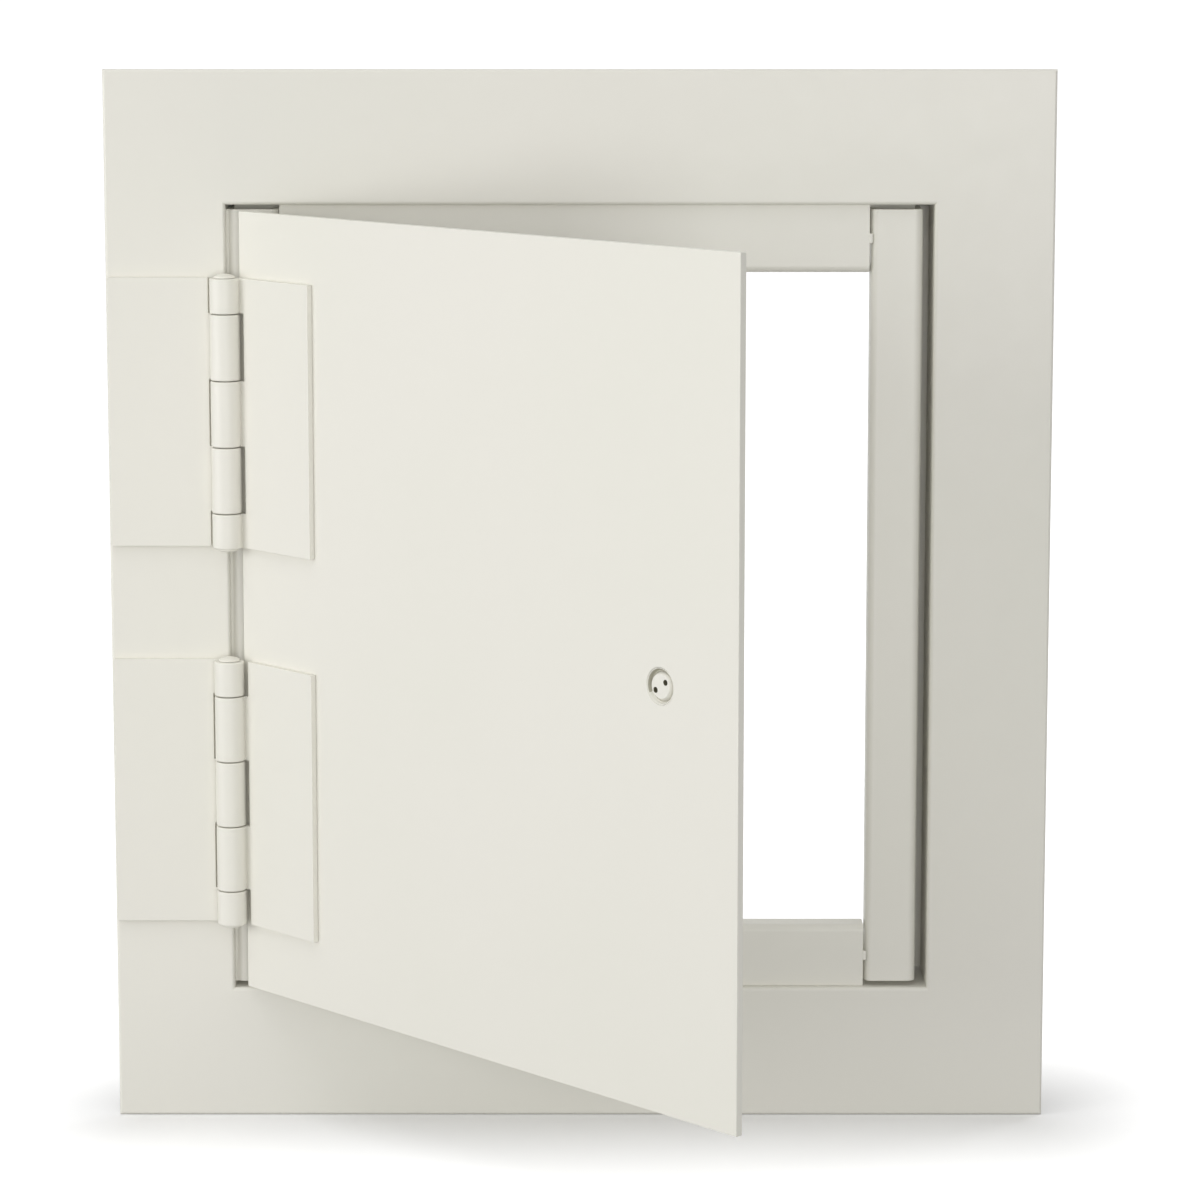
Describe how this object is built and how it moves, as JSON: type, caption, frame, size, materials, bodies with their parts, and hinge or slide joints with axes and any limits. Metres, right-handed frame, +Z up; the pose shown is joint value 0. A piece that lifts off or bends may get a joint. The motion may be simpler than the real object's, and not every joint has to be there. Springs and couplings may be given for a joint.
{
  "type": "ceiling access panel",
  "caption": "Flange-framed steel access panel with a flat plate door on surface butt hinges, door stops all round and a spanner-head cam latch.",
  "frame": {"origin": "middle of the flange opening, in the wall or ceiling plane that the flange's back seats on", "axes": "+Y goes into the wall or ceiling, -Y faces the room, +Z is up in the picture, the hinges are at -X"},
  "size_m": [0.402, 0.2686, 0.454],
  "materials": {
    "painted_steel": "warm off-white satin paint",
    "lock_steel": "painted over, worn at the spanner holes",
    "galvanised_steel": "galvanised",
    "zinc_plated_steel": "bright zinc plate"
  },
  "bodies": {
    "frame": {"frame_top": "painted_steel", "frame_bottom": "painted_steel", "frame_hinge_side": "painted_steel", "frame_strike_side": "painted_steel", "stop_top": "painted_steel", "stop_bottom": "painted_steel", "stop_hinge_side": "painted_steel", "stop_strike_side": "painted_steel", "strike_side_spacer": "painted_steel", "stop_tack_welds": "painted_steel", "corner_block_hinge_top": "painted_steel", "corner_block_hinge_bottom": "painted_steel", "corner_block_strike_top": "painted_steel", "corner_block_strike_bottom": "painted_steel", "anchor_hinge_upper": "galvanised_steel", "anchor_hinge_lower": "galvanised_steel", "anchor_strike_upper": "galvanised_steel", "anchor_strike_lower": "galvanised_steel", "upper_hinge_frame_leaf": "painted_steel", "lower_hinge_frame_leaf": "painted_steel", "upper_hinge_pin": "painted_steel", "lower_hinge_pin": "painted_steel", "upper_hinge_plug": "painted_steel", "lower_hinge_plug": "painted_steel"},
    "door": {"door_plate": "painted_steel", "upper_hinge_door_leaf": "painted_steel", "lower_hinge_door_leaf": "painted_steel", "lock_housing": "painted_steel", "cam_stop_pin": "zinc_plated_steel"},
    "latch": {"lock_spindle": "lock_steel", "thrust_washer": "zinc_plated_steel", "latch_cam": "zinc_plated_steel", "cam_lock_washer": "zinc_plated_steel", "cam_nut": "zinc_plated_steel"}
  },
  "joints": [
    {"name": "door_swing", "type": "hinge", "parent": "frame", "child": "door", "pos_m": [-0.15, -0.00965, 0], "axis": [0, 0, -1], "range_deg": [-46.5, 128.5]},
    {"name": "latch_turn", "type": "hinge", "parent": "door", "child": "latch", "pos_m": [0.03132, -0.19106, -0.0004], "axis": [0.7254, 0.6884, 0], "range_deg": [0, 90]}
  ]
}
